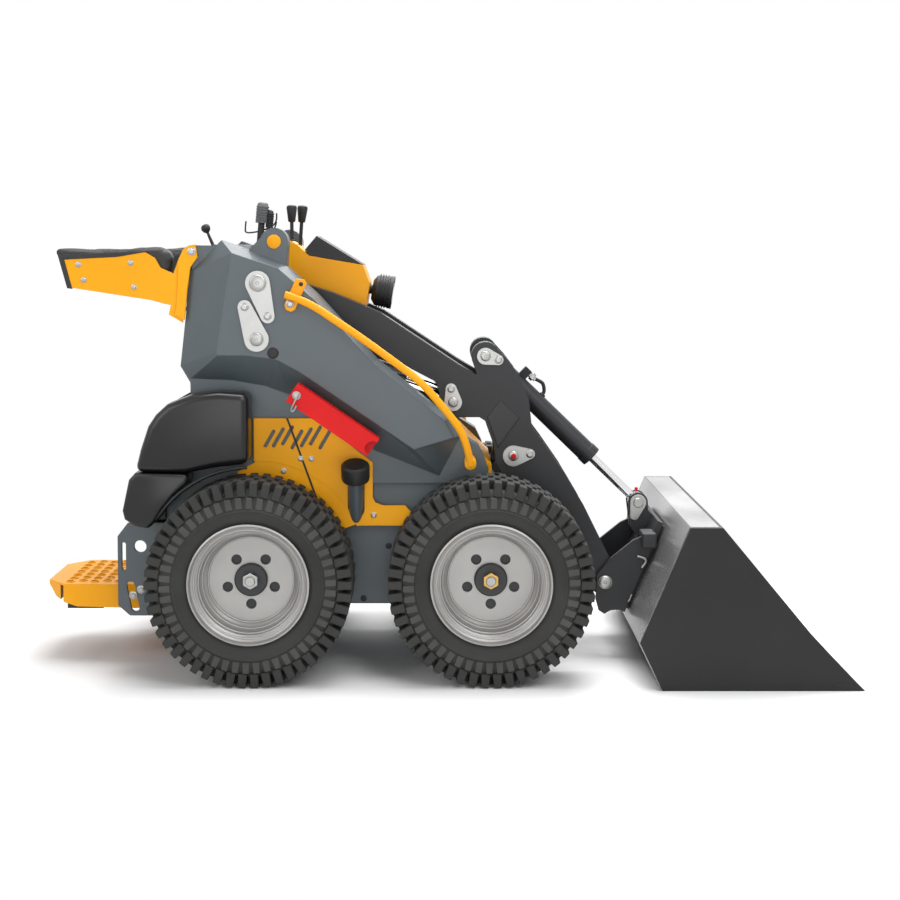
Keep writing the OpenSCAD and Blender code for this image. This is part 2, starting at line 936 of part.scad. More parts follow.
chassis();
engine();
wheel_motors();
tower(true);  // tower_right
tower(false);  // tower_left
tower_pins();
tower_lock_plates();
side_panel(true);  // side_panel_right
side_panel(false);  // side_panel_left
fender(true);  // fender_right
fender(false);  // fender_left
rear_hood();
console();
centre_column();
cowl();
cowl_lid();
work_lamp();
joystick();
levers();
throttle_lever();
hip_rest(true);  // hip_rest_right
hip_rest(false);  // hip_rest_left
hip_pad(true);  // hip_pad_right
hip_pad(false);  // hip_pad_left
platform();
platform_buffer();
guard_rail(true);  // guard_rail_right
guard_rail(false);  // guard_rail_left
safety_strut();
fuel_filler();
front_panel();
tyre(rear_axle_x, true);  // tyre_rear_right
tyre(rear_axle_x, false);  // tyre_rear_left
tyre(front_axle_x, true);  // tyre_front_right
tyre(front_axle_x, false);  // tyre_front_left
rim(rear_axle_x, true);  // rim_rear_right
rim(rear_axle_x, false);  // rim_rear_left
rim(front_axle_x, true);  // rim_front_right
rim(front_axle_x, false);  // rim_front_left
hub(rear_axle_x, true);  // hub_rear_right
hub(rear_axle_x, false);  // hub_rear_left
hub(front_axle_x, true);  // hub_front_right
hub(front_axle_x, false);  // hub_front_left
boom_arm(true);  // boom_arm_right
boom_arm(false);  // boom_arm_left
boom_cross_tubes();
boom_pins();
boom_lock_plates();
lift_barrel(true);  // lift_barrel_right
lift_barrel(false);  // lift_barrel_left
lift_rod(true);  // lift_rod_right
lift_rod(false);  // lift_rod_left
tilt_barrel();
tilt_rod();
coupler();
coupler_pins();
bucket();
bucket_edge();
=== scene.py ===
import json
import math

import bpy
from mathutils import Matrix, Vector


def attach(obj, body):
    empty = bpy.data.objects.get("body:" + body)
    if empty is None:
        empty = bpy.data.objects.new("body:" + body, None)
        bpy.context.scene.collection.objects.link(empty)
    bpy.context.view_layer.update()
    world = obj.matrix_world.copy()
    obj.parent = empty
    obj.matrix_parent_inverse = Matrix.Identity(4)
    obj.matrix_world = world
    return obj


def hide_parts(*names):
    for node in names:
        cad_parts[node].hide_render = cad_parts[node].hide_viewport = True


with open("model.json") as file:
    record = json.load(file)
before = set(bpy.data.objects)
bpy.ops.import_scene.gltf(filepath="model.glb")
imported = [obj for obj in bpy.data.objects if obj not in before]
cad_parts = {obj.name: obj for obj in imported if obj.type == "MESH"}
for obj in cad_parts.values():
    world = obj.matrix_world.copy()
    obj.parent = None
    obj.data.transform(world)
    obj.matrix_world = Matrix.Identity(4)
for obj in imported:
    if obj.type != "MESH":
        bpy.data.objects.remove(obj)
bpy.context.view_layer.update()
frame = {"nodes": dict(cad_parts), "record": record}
nodes = frame["nodes"]
print("frame loaded with", len(nodes), "nodes")

bothSides = (("right", -1), ("left", 1))


# finishes

finishSettings = {"coatRough": 0.12, "patchDetail": 6, "ramp": (0.3, 0.75), "grainDetail": 4, "bumpDepth": 0.0006,
                  "edgeSamples": 4}


def makeFinish(look):
    material = bpy.data.materials.new(look["name"])
    material.use_nodes = True
    tree = material.node_tree
    shader = tree.nodes["Principled BSDF"]
    shader.inputs["Metallic"].default_value = look.get("metallic", 0.0)
    shader.inputs["Coat Weight"].default_value = look.get("coat", 0.0)
    shader.inputs["Coat Roughness"].default_value = finishSettings["coatRough"]
    shader.inputs["Specular IOR Level"].default_value = look.get("specular", 0.5)
    coords = tree.nodes.new("ShaderNodeTexCoord")
    mapping = tree.nodes.new("ShaderNodeMapping")
    mapping.inputs["Scale"].default_value = look.get("stretch", (1, 1, 1))
    tree.links.new(coords.outputs["Object"], mapping.inputs["Vector"])
    patches = tree.nodes.new("ShaderNodeTexNoise")
    patches.inputs["Scale"].default_value = look["patchScale"]
    patches.inputs["Detail"].default_value = finishSettings["patchDetail"]
    tree.links.new(mapping.outputs["Vector"], patches.inputs["Vector"])
    ramp = tree.nodes.new("ShaderNodeValToRGB")
    for stop, place, color in zip(ramp.color_ramp.elements, finishSettings["ramp"], (look["color"], look["shade"])):
        stop.position = place
        stop.color = (*color, 1)
    tree.links.new(patches.outputs["Fac"], ramp.inputs["Fac"])
    tree.links.new(ramp.outputs["Color"], shader.inputs["Base Color"])
    grain = tree.nodes.new("ShaderNodeTexNoise")
    grain.inputs["Scale"].default_value = look["grainScale"]
    grain.inputs["Detail"].default_value = finishSettings["grainDetail"]
    tree.links.new(mapping.outputs["Vector"], grain.inputs["Vector"])
    rough = tree.nodes.new("ShaderNodeMapRange")
    rough.inputs["To Min"].default_value, rough.inputs["To Max"].default_value = look["rough"]
    tree.links.new(patches.outputs["Fac"], rough.inputs["Value"])
    tree.links.new(rough.outputs["Result"], shader.inputs["Roughness"])
    bump = tree.nodes.new("ShaderNodeBump")
    bump.inputs["Strength"].default_value = look["bump"]
    bump.inputs["Distance"].default_value = finishSettings["bumpDepth"]
    tree.links.new(grain.outputs["Fac"], bump.inputs["Height"])
    if look.get("edge"):  # light catches a small radius on folded and cut edges
        edge = tree.nodes.new("ShaderNodeBevel")
        edge.samples = finishSettings["edgeSamples"]
        edge.inputs["Radius"].default_value = look["edge"]
        tree.links.new(edge.outputs["Normal"], bump.inputs["Normal"])
    tree.links.new(bump.outputs["Normal"], shader.inputs["Normal"])
    return material


finishLooks = [
    {"name": "towerPaint", "color": (0.070, 0.088, 0.099), "shade": (0.082, 0.102, 0.113), "patchScale": 5,
     "grainScale": 420, "rough": (0.36, 0.5), "bump": 0.12, "coat": 0.12, "edge": 0.004},
    {"name": "boomPaint", "color": (0.022, 0.0225, 0.0245), "shade": (0.030, 0.031, 0.034), "patchScale": 6,
     "grainScale": 380, "rough": (0.36, 0.5), "bump": 0.14, "edge": 0.003, "specular": 0.35},
    {"name": "bucketPaint", "color": (0.013, 0.013, 0.0135), "shade": (0.020, 0.020, 0.0205), "patchScale": 3,
     "grainScale": 300, "rough": (0.34, 0.5), "bump": 0.16, "specular": 0.28, "edge": 0.0025},
    # painted highlight: a light metallic grey for the sheets laid over the dark-painted bucket back
    {"name": "bucketPaintedHighlight", "color": (0.30, 0.30, 0.30), "shade": (0.62, 0.62, 0.62), "patchScale": 4,
     "grainScale": 120, "rough": (0.2, 0.34), "bump": 0.015, "metallic": 0.7, "stretch": (1, 0.5, 1)},
    {"name": "yellowPaint", "color": (0.88, 0.355, 0.003), "shade": (0.94, 0.415, 0.006), "patchScale": 4,
     "grainScale": 450, "rough": (0.3, 0.42), "bump": 0.07, "specular": 0.22, "edge": 0.003},
    # a brighter copy of the yellow paint for the side panels and skirts: painted light, lifting them out of the shade
    # under the towers
    {"name": "panelYellowPaintedLight", "color": (0.96, 0.40, 0.003), "shade": (1.0, 0.45, 0.005), "patchScale": 4,
     "grainScale": 450, "rough": (0.32, 0.44), "bump": 0.07, "specular": 0.2, "edge": 0.003},
    {"name": "redPaint", "color": (0.62, 0.006, 0.008), "shade": (0.70, 0.012, 0.012), "patchScale": 8,
     "grainScale": 400, "rough": (0.34, 0.46), "bump": 0.1, "specular": 0.18, "edge": 0.003},
    {"name": "rimPaint", "color": (0.35, 0.342, 0.33), "shade": (0.41, 0.402, 0.388), "patchScale": 7,
     "grainScale": 900, "rough": (0.34, 0.46), "bump": 0.06, "metallic": 0.55},
    {"name": "tyreRubber", "color": (0.022, 0.022, 0.021), "shade": (0.036, 0.036, 0.034), "patchScale": 9,
     "grainScale": 520, "rough": (0.62, 0.8), "bump": 0.3, "specular": 0.35},
    {"name": "sideRubber", "color": (0.046, 0.045, 0.043), "shade": (0.068, 0.067, 0.064), "patchScale": 9,
     "grainScale": 520, "rough": (0.6, 0.78), "bump": 0.3, "specular": 0.35},
    {"name": "padVinyl", "color": (0.014, 0.014, 0.014), "shade": (0.022, 0.022, 0.022), "patchScale": 12,
     "grainScale": 700, "rough": (0.45, 0.6), "bump": 0.35, "specular": 0.4},
    {"name": "mouldedPlastic", "color": (0.014, 0.014, 0.0145), "shade": (0.021, 0.021, 0.022), "patchScale": 7,
     "grainScale": 850, "rough": (0.44, 0.58), "bump": 0.3, "edge": 0.003, "specular": 0.35},
    {"name": "coverPlastic", "color": (0.006, 0.006, 0.0062), "shade": (0.010, 0.010, 0.0102), "patchScale": 5,
     "grainScale": 700, "rough": (0.2, 0.3), "bump": 0.06, "edge": 0.006, "specular": 0.4},
    {"name": "castMetal", "color": (0.028, 0.029, 0.031), "shade": (0.045, 0.046, 0.048), "patchScale": 14,
     "grainScale": 300, "rough": (0.5, 0.68), "bump": 0.4, "metallic": 0.2},
    {"name": "pinSteel", "color": (0.33, 0.33, 0.32), "shade": (0.40, 0.40, 0.39), "patchScale": 16,
     "grainScale": 500, "rough": (0.24, 0.38), "bump": 0.08, "metallic": 0.9},
    {"name": "rodChrome", "color": (0.72, 0.72, 0.73), "shade": (0.80, 0.80, 0.81), "patchScale": 20,
     "grainScale": 900, "rough": (0.1, 0.16), "bump": 0.004, "metallic": 1.0},
    {"name": "brassNut", "color": (0.50, 0.31, 0.09), "shade": (0.60, 0.39, 0.13), "patchScale": 30,
     "grainScale": 700, "rough": (0.28, 0.4), "bump": 0.08, "metallic": 0.85},
    {"name": "lampLens", "color": (0.55, 0.57, 0.58), "shade": (0.68, 0.70, 0.71), "patchScale": 60,
     "grainScale": 160, "rough": (0.06, 0.12), "bump": 0.3, "coat": 0.6},
    {"name": "gripRubber", "color": (0.11, 0.115, 0.12), "shade": (0.15, 0.155, 0.16), "patchScale": 30,
     "grainScale": 600, "rough": (0.5, 0.65), "bump": 0.2},
]
finish = {look["name"]: makeFinish(look) for look in finishLooks}
slotFinish = {
    "paint_grey": "towerPaint", "paint_dark": "boomPaint", "paint_yellow": "yellowPaint",
    "paint_red": "redPaint", "rim_silver": "rimPaint", "tyre_rubber": "tyreRubber", "soft_black": "padVinyl",
    "cover_black": "mouldedPlastic", "cast_dark": "castMetal", "pin_steel": "pinSteel", "rod_chrome": "rodChrome",
}
for part in frame["record"]["subparts"]:
    cadNode = nodes[part["node"]]
    cadNode.data.materials.clear()
    cadNode.data.materials.append(finish[slotFinish[part["material_slot"]]])
nodeFinish = {
    "bucket": "bucketPaint", "bucket_edge": "bucketPaint", "platform_buffer": "tyreRubber",
    "fuel_filler": "towerPaint", "rear_hood": "coverPlastic",
    # the side panels get the brightened yellow: painted light against the towers' shade
    "side_panel_right": "panelYellowPaintedLight", "side_panel_left": "panelYellowPaintedLight",
}
for name, look in nodeFinish.items():
    nodes[name].data.materials[0] = finish[look]
print("finishes on the solids done")


# modelling helpers

def deselectAll():
    if bpy.context.mode != "OBJECT":
        bpy.ops.object.mode_set(mode="OBJECT")
    bpy.ops.object.select_all(action="DESELECT")


def useOnly(piece):
    deselectAll()
    piece.select_set(True)
    bpy.context.view_layer.objects.active = piece


def smooth(piece, angle=35):
    useOnly(piece)
    bpy.ops.object.shade_smooth_by_angle(angle=math.radians(angle))


def applyModifier(piece, kind, **values):
    useOnly(piece)
    modifier = piece.modifiers.new(kind.lower(), kind)
    for key, value in values.items():
        setattr(modifier, key, value)
    bpy.ops.object.modifier_apply(modifier=modifier.name)


def spunPiece(name, profile, steps=40):  # profile of (radius, height) in mm, turned round Z
    deselectAll()
    bpy.ops.mesh.primitive_circle_add(vertices=len(profile), radius=0.01)
    piece = bpy.context.object
    piece.name = name
    for vertex, (radius, height) in zip(piece.data.vertices, profile):
        vertex.co = (radius / 1000, 0, height / 1000)
    bpy.ops.object.mode_set(mode="EDIT")
    bpy.ops.mesh.select_all(action="SELECT")
    bpy.ops.mesh.spin(steps=steps, angle=2 * math.pi, center=(0, 0, 0), axis=(0, 0, 1))
    bpy.ops.mesh.select_all(action="SELECT")
    bpy.ops.mesh.remove_doubles(threshold=0.000005)
    bpy.ops.mesh.delete_loose()
    bpy.ops.mesh.select_all(action="SELECT")
    bpy.ops.mesh.normals_make_consistent(inside=False)
    bpy.ops.object.mode_set(mode="OBJECT")
    return piece


def platePiece(name, outline, y0, y1, bevel=0):  # side view outline in mm, extruded from y0 to y1
    deselectAll()
    bpy.ops.mesh.primitive_circle_add(vertices=len(outline), radius=0.01, fill_type="NGON")
    piece = bpy.context.object
    piece.name = name
    for vertex, (x, z) in zip(piece.data.vertices, outline):
        vertex.co = (x / 1000, y0 / 1000, z / 1000)
    bpy.ops.object.mode_set(mode="EDIT")
    bpy.ops.mesh.select_all(action="SELECT")
    bpy.ops.mesh.extrude_region_move(TRANSFORM_OT_translate={"value": (0, (y1 - y0) / 1000, 0)})
    bpy.ops.mesh.select_all(action="SELECT")
    bpy.ops.mesh.normals_make_consistent(inside=False)
    bpy.ops.object.mode_set(mode="OBJECT")
    if bevel:
        applyModifier(piece, "BEVEL", width=bevel / 1000, segments=2, limit_method="ANGLE")
    return piece


def tubePiece(name, points, radius, sides=4):  # smooth round bar through points in mm
    deselectAll()
    bpy.ops.curve.primitive_nurbs_path_add()
    piece = bpy.context.object
    piece.name = name
    path = piece.data.splines[0]
    path.points.add(max(0, len(points) - len(path.points)))
    for i, point in enumerate(path.points):
        point.co = (*[value / 1000 for value in points[min(i, len(points) - 1)]], 1)
    path.order_u = 3
    path.use_endpoint_u = True
    path.resolution_u = 6
    piece.data.bevel_depth = radius / 1000
    piece.data.bevel_resolution = sides
    piece.data.use_fill_caps = True
    useOnly(piece)
    bpy.ops.object.convert(target="MESH")
    piece = bpy.context.object
    smooth(piece, 45)
    return piece


def boxPiece(name, low, high, bevel=1.0):
    deselectAll()
    middle = [(a + b) / 2000 for a, b in zip(low, high)]
    bpy.ops.mesh.primitive_cube_add(size=1, location=middle)
    piece = bpy.context.object
    piece.name = name
    piece.scale = [abs(b - a) / 1000 for a, b in zip(low, high)]
    bpy.ops.object.transform_apply(location=True, rotation=True, scale=True)
    applyModifier(piece, "BEVEL", width=bevel / 1000, segments=2)
    return piece


def joined(name, pieces):
    deselectAll()
    for piece in pieces:
        piece.select_set(True)
    bpy.context.view_layer.objects.active = pieces[0]
    if len(pieces) > 1:
        bpy.ops.object.join()
    pieces[0].name = name
    return pieces[0]


def copied(name, master, matrices):  # one mesh of copies of a master, which is removed
    copies = []
    for matrix in matrices:
        copy = master.copy()
        copy.data = master.data.copy()
        copy.data.transform(matrix)
        bpy.context.scene.collection.objects.link(copy)
        copies.append(copy)
    bpy.data.objects.remove(master)
    return joined(name, copies)


def finished(piece, body, look, slot, *replaced):
    piece.data.materials.clear()
    piece.data.materials.append(finish[look])
    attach(piece, body)
    if replaced:
        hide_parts(*replaced)
    return piece


def at(x, y, z):  # a place in mm
    return Matrix.Translation((x / 1000, y / 1000, z / 1000))


def turn(angle, axis):
    return Matrix.Rotation(math.radians(angle), 4, axis)


def facing(x, y, z, side):  # puts a Z-turned piece on a side, pointing outwards
    return at(x, y, z) @ turn(-90 * side, "X")


def onSide(place, side):  # facing, for a place given on the left
    x, y, z = place
    return facing(x, side * y, z, side)


def turned(name, profile, place, steps=40, angle=35):  # spun, smoothed and put in place
    piece = spunPiece(name, profile, steps)
    smooth(piece, angle)
    piece.data.transform(place)
    return piece


# tyres

tyreSettings = {
    "lugs": 50, "steps": 96, "draft": 0.84, "lugBevel": 1.8,
    "profile": [(155, 475), (176, 483), (192, 495), (204, 500), (207, 503), (210, 505), (213, 503), (216, 499),
                (236, 497), (252, 490), (264, 474), (264, 321), (252, 305), (236, 298), (216, 296), (213, 292),
                (210, 290), (207, 292), (204, 295), (192, 300), (176, 312), (155, 320)],
    # each row of lugs: inner radius, outer radius, from, to, width along the ring, share of a pitch
    "rows": [(249, 289.7, 446, 497, 25, 0), (258, 289.9, 402, 444, 27, 0.5), (258, 289.9, 351, 393, 27, 0),
             (249, 289.7, 298, 349, 25, 0.5)],
    "sideRows": [(215, 247, 486, 502, 21, 0.3), (215, 247, 293, 309, 21, 0.8)],
}


def lugRow(row):
    inner, outer, low, high, width, share = row
    lugs = tyreSettings["lugs"]
    deselectAll()
    bpy.ops.mesh.primitive_cube_add(size=1, location=((inner + outer) / 2000, 0, (low + high) / 2000))
    lug = bpy.context.object
    lug.scale = ((outer - inner) / 1000, width / 1000, (high - low) / 1000)
    bpy.ops.object.transform_apply(location=True, rotation=True, scale=True)
    for vertex in lug.data.vertices:  # draft on the outer faces
        if vertex.co.x > (inner + outer) / 2000:
            vertex.co.y *= tyreSettings["draft"]
    bpy.ops.object.mode_set(mode="EDIT")
    bpy.ops.mesh.select_all(action="SELECT")
    bpy.ops.mesh.bevel(offset=tyreSettings["lugBevel"] / 1000, segments=1)
    bpy.ops.mesh.select_all(action="SELECT")
    bpy.ops.mesh.spin(steps=lugs - 1, dupli=True, angle=2 * math.pi * (lugs - 1) / lugs, center=(0, 0, 0),
                      axis=(0, 0, 1))
    bpy.ops.object.mode_set(mode="OBJECT")
    lug.data.transform(Matrix.Rotation(2 * math.pi * share / lugs, 4, "Z"))
    return lug


def makeTyre():
    carcass = spunPiece("tyreMaster", tyreSettings["profile"], tyreSettings["steps"])
    smooth(carcass, 40)
    rows = [lugRow(row) for row in tyreSettings["rows"]]
    sides = [lugRow(row) for row in tyreSettings["sideRows"]]
    return joined("tyreMaster", [carcass] + rows), joined("sideMaster", sides)


# rings pressed into the rim: radius and distance from the middle plane
rimSettings = {"rings": [(153.5, 476), (144, 452), (136.6, 424), (122, 408)], "r": 3, "corners": 10, "steps": 72}


def makeRimRings():
    r, corners = rimSettings["r"], rimSettings["corners"]
    turns = [2 * math.pi * i / corners for i in range(corners)]
    rings = []
    for radius, height in rimSettings["rings"]:
        profile = [(radius + r * math.cos(a), height + r * math.sin(a)) for a in turns]
        rings.append(spunPiece("rimRing", profile, rimSettings["steps"]))
    rings = joined("rimRings", rings)
    smooth(rings, 60)
    return rings


wheelSettings = {
    "places": {"rear_right": (-538, -1), "rear_left": (-538, 1), "front_right": (141, -1), "front_left": (141, 1)},
    "axleZ": 290, "nutY": 425.5, "nutR": 24, "nutH": 18, "nutBevel": 2, "shaftY": 417,
    "shaft": [(0, 24), (12, 24), (14, 22), (15, 10), (0, 10)],
    "dimple": [(1.2, 23.9), (2.6, 24.6), (3.4, 24.2), (3.4, 23.9)],
}
tyreMaster, sideMaster = makeTyre()
ringMaster = makeRimRings()
for wheel, (axleX, side) in wheelSettings["places"].items():
    axleZ = wheelSettings["axleZ"]
    for master, name, look, slot, replaced in (
            (tyreMaster, "tyreTread_", "tyreRubber", "tyre_rubber", ["tyre_" + wheel]),
            (sideMaster, "tyreSide_", "sideRubber", "tyre_rubber", []),
            (ringMaster, "rimRings_", "rimPaint", "rim_silver", [])):
        copy = master.copy()
        copy.data = master.data.copy()
        copy.name = name + wheel
        bpy.context.scene.collection.objects.link(copy)
        copy.data.transform(facing(axleX, 0, axleZ, side))
        finished(copy, "wheel_" + wheel, look, slot, *replaced)

    deselectAll()
    bpy.ops.mesh.primitive_cylinder_add(vertices=6, radius=wheelSettings["nutR"] / 1000,
                                        depth=wheelSettings["nutH"] / 1000)
    nut = bpy.context.object
    nut.name = "hubNut_" + wheel
    applyModifier(nut, "BEVEL", width=wheelSettings["nutBevel"] / 1000, segments=2)
    nut.data.transform(facing(axleX, side * wheelSettings["nutY"], axleZ, side))
    finished(nut, "wheel_" + wheel, "brassNut" if "front" in wheel else "pinSteel", "pin_steel")
    shaftEnd = spunPiece("shaftEnd_" + wheel, wheelSettings["shaft"])
    dimple = spunPiece("shaftDimple", wheelSettings["dimple"], 16)
    shaftEnd = joined("shaftEnd_" + wheel, [shaftEnd, dimple])
    smooth(shaftEnd)
    shaftEnd.data.transform(facing(axleX, side * wheelSettings["shaftY"], axleZ, side))
    finished(shaftEnd, "wheel_" + wheel, "pinSteel", "pin_steel")
for master in (tyreMaster, sideMaster, ringMaster):
    bpy.data.objects.remove(master)
print("tyres done")


# bolts and pin ends

boltSettings = {
    "r": 8.5, "h": 6, "z": 4.5, "bevel": 1.2, "washer": [(0, 0.2), (12, 0.2), (12, 1.4), (11, 2), (0, 2)],
    # each row: distance from the middle plane, sides, size, places in side view
    "rows": {
        "chassis": [
            (283.4, (-1, 1), 0.7, [(-1043, 1180), (-1028, 1136), (-892, 1185), (-883, 1115), (-456, 583),
                                   (-406, 619), (-375, 619), (-195, 454)]),
            (289, (-1, 1), 1, [(-716, 1218)]),
            (262, (-1, 1), 1, [(-877, 231), (-900, 214)]),
            (348.6, (-1, 1), 1, [(-493, 1034), (-558, 1060)]),
            (352, (-1, 1), 1, [(-428, 1069)]),
            (392.4, (-1,), 1, [(-408, 812)]),
        ],
        "boom": [(161.3, (-1, 1), 1, [(170, 897), (30, 811), (264, 617)])],
    },
}


def makeBolt():
    deselectAll()
    bpy.ops.mesh.primitive_cylinder_add(vertices=6, radius=boltSettings["r"] / 1000, depth=boltSettings["h"] / 1000,
                                        location=(0, 0, boltSettings["z"] / 1000))
    head = bpy.context.object
    bpy.ops.object.transform_apply(location=True, rotation=True, scale=True)
    applyModifier(head, "BEVEL", width=boltSettings["bevel"] / 1000, segments=1)
    washer = spunPiece("washer", boltSettings["washer"], 20)
    smooth(washer)
    return joined("bolt", [head, washer])


for body, rows in boltSettings["rows"].items():
    places = [facing(x, side * y, z, side) @ Matrix.Scale(size, 4)
              for y, sides, size, points in rows for x, z in points for side in sides]
    finished(copied("bolts_" + body, makeBolt(), places), body, "pinSteel", "pin_steel")

# each pin end: x, z, distance from the middle plane, radius
pinEndSettings = {
    "chassis": [(-521, 1128, 352, 25), (-525, 968, 352, 20)],
    "boom": [(132, 908, 165, 16), (36, 771, 165, 16), (215, 611, 165, 16)],
    "bucket_tool": [(489, 235, 177, 20)],
}
for body, ends in pinEndSettings.items():
    rings = []
    for x, z, y, r in ends:
        profile = [(4, 0.2), (4, 1), (5, 3), (r - 5, 3), (r - 2.5, 2), (r - 1, 0.2)]
        rings += [turned("pinEnd", profile, facing(x, side * y, z, side), 28) for side in (-1, 1)]
    finished(joined("pinEnds_" + body, rings), body, "pinSteel", "pin_steel")
print("bolts and pin ends done")


# hip pads

padSettings = {
    "outline": [(-1115, 1219), (-1106, 1226), (-860, 1233), (-804, 1230), (-782, 1218), (-771, 1197), (-780, 1158),
                (-834, 1098), (-1074, 1129)],
    "edge": [(-848, 1219), (-1102, 1208), (-1076, 1112), (-1061, 1110), (-1083, 1194), (-930, 1202), (-850, 1216)],
    "strap": [(-757, 1190), (-742, 1222), (-732, 1231), (-722, 1236), (-706, 1238), (-700, 1200), (-720, 1172),
              (-729, 1112), (-738, 1020), (-768, 1036), (-762, 1066), (-758, 1130)],
    "inner": 220, "outer": 270, "bevel": 10, "back": 274.4, "cap": 0.007, "voxel": 0.006, "pressure": 4.0,
    "frames": 20, "edgeY": (276, 285.4), "edgeBevel": 1.6, "strapY": (279, 289), "strapBevel": 2.5,
}


def makePad(name, side):
    pad = platePiece(name, padSettings["outline"], side * padSettings["inner"], side * padSettings["outer"],
                     padSettings["bevel"])
    applyModifier(pad, "REMESH", mode="VOXEL", voxel_size=padSettings["voxel"])
    start = [vertex.co.copy() for vertex in pad.data.vertices]
    useOnly(pad)
    cloth = pad.modifiers.new("cloth", "CLOTH")
    cloth.settings.use_pressure = True
    cloth.settings.uniform_pressure_force = padSettings["pressure"]
    cloth.settings.effector_weights.gravity = 0
    for step in range(1, padSettings["frames"] + 1):
        bpy.context.scene.frame_set(step)
    bpy.ops.object.modifier_apply(modifier=cloth.name)
    bpy.context.scene.frame_set(1)
    for vertex, place in zip(pad.data.vertices, start):
        move = vertex.co - place
        if move.length > padSettings["cap"]:
            vertex.co = place + move.normalized() * padSettings["cap"]
    back = padSettings["back"] / 1000
    for vertex in pad.data.vertices:  # flat where it rests on the side plate
        vertex.co.y = max(-back, min(back, vertex.co.y))
    applyModifier(pad, "SUBSURF", levels=1, render_levels=1)
    smooth(pad, 80)
    return pad


for sideName, side in bothSides:
    finished(makePad("hipPad_" + sideName, side), "chassis", "padVinyl", "soft_black", "hip_pad_" + sideName)
    low, high = padSettings["edgeY"]
    edging = platePiece("padEdge_" + sideName, padSettings["edge"], side * low, side * high, padSettings["edgeBevel"])
    finished(edging, "chassis", "padVinyl", "soft_black")
    low, high = padSettings["strapY"]
    strap = platePiece("hipStrap_" + sideName, padSettings["strap"], side * low, side * high,
                       padSettings["strapBevel"])
    finished(strap, "chassis", "yellowPaint", "paint_yellow")
print("hip pads done")


# guard rails

railSettings = {
    "y": 362, "radius": 11,
    "path": [(-442, 1096), (-420, 1090), (-364, 1066), (-300, 1023), (-226, 973), (-145, 914), (-60, 851), (-12, 797),
             (34, 741), (56, 708), (68, 680), (78, 645), (84, 613), (85, 606)],
    "bracket": [(-412, 1141), (-388, 1138), (-381, 1127), (-414, 1053), (-426, 1046), (-441, 1053), (-445, 1067)],
    "bracketY": (340.4, 352), "bracketBevel": 2, "holePlace": (-397, 352, 1125),
    "hole": [(0, 0.2), (6, 0.2), (6, 0.8), (4.5, 1.2), (0, 1.2)],
    "footPlace": (84, 276, 613), "foot": [(0, 0), (15, 0), (17, 3), (17, 90), (14, 93), (0, 93)],
}
for sideName, side in bothSides:
    y = side * railSettings["y"]
    rail = tubePiece("railTube", [(x, y, z) for x, z in railSettings["path"]], railSettings["radius"], 5)
    low, high = railSettings["bracketY"]
    upper = platePiece("railBracket", railSettings["bracket"], side * low, side * high, railSettings["bracketBevel"])
    foot = turned("railFoot", railSettings["foot"], onSide(railSettings["footPlace"], side), 24)
    finished(joined("guardRail_" + sideName, [rail, upper, foot]), "chassis", "yellowPaint", "paint_yellow",
             "guard_rail_" + sideName)
    # a black disc in the bracket's hole: painted shade for the dark inside of the hole
    hole = spunPiece("bracketHoleShade_" + sideName, railSettings["hole"], 20)
    hole.data.transform(onSide(railSettings["holePlace"], side))
    finished(hole, "chassis", "mouldedPlastic", "cover_black")
print("guard rails done")


# hand controls

def ribbedGrip(name, bottom, top, radius, ribs=7):
    profile = [(0, bottom), (radius - 3, bottom)]
    step = (top - bottom - 8) / ribs
    for i in range(ribs):
        z = bottom + step * i
        profile += [(radius, z + 0.2 * step), (radius, z + 0.6 * step), (radius - 2, z + 0.75 * step)]
    return spunPiece(name, profile + [(radius - 3, top - 4), (radius - 8, top), (0, top)])


stickSettings = {
    "place": (-552, -56, 1165), "lean": 5, "wireR": 2.4,
    "boot": [(0, 0.5), (22, 0.5), (22, 4), (18, 7), (20, 11), (16, 15), (18, 19), (13, 24), (11, 26), (11, 30),
             (0, 30)],
    "stem": [(0, 20), (10, 20), (10, 146), (0, 146)],
    # bottom, top and radius of the two grips
    "trigger": (126, 180, 12), "triggerX": 24, "grip": (138, 200, 19),
    "wires": [[(-8, 0, 112), (-30, 0, 106), (-44, 0, 106), (-48, 0, 112), (-47, 0, 140)],
              [(6, -6, 100), (30, -6, 112), (42, -6, 126), (45, -6, 146)],
              [(6, 8, 118), (34, 8, 130), (44, 8, 150), (42, 8, 172)]],
}
stickPlace = at(*stickSettings["place"]) @ turn(stickSettings["lean"], "Y")
boot = spunPiece("stickBoot", stickSettings["boot"])
stem = spunPiece("stickStem", stickSettings["stem"])
trigger = ribbedGrip("stickTrigger", *stickSettings["trigger"])
trigger.data.transform(at(stickSettings["triggerX"], 0, 0))
boot = joined("stickBoot", [boot, stem, trigger])
smooth(boot)
wires = [tubePiece("stickWire", points, stickSettings["wireR"], 2) for points in stickSettings["wires"]]
boot = joined("stickBoot", [boot] + wires)
boot.data.transform(stickPlace)
finished(boot, "chassis", "mouldedPlastic", "cover_black", "joystick")
grip = ribbedGrip("stickGrip", *stickSettings["grip"])
smooth(grip, 50)
grip.data.transform(stickPlace)
finished(grip, "chassis", "gripRubber", "cover_black")

leverSettings = {
    # each lever: x, y, bottom of its stem and lean; the left one is pushed forward
    "levers": [(-452, -22, 0.2, 0), (-430, 22, -20, 4)], "z": 1248.2,
    "knob": [(0, 58), (9, 58), (11, 61), (16, 100), (15, 106), (10, 109), (0, 110)],
}
leverParts = []
for x, y, foot, lean in leverSettings["levers"]:
    stem = spunPiece("leverStem", [(0, foot), (9, foot), (9, foot + 3), (5.5, foot + 6), (5.5, 64), (0, 64)], 20)
    knob = spunPiece("leverKnob", leverSettings["knob"], 28)
    lever = joined("lever", [stem, knob])
    lever.data.transform(at(x, y, leverSettings["z"]) @ turn(lean, "Y"))
    smooth(lever)
    leverParts.append(lever)
finished(joined("cowlLevers", leverParts), "chassis", "mouldedPlastic", "cover_black", "levers")

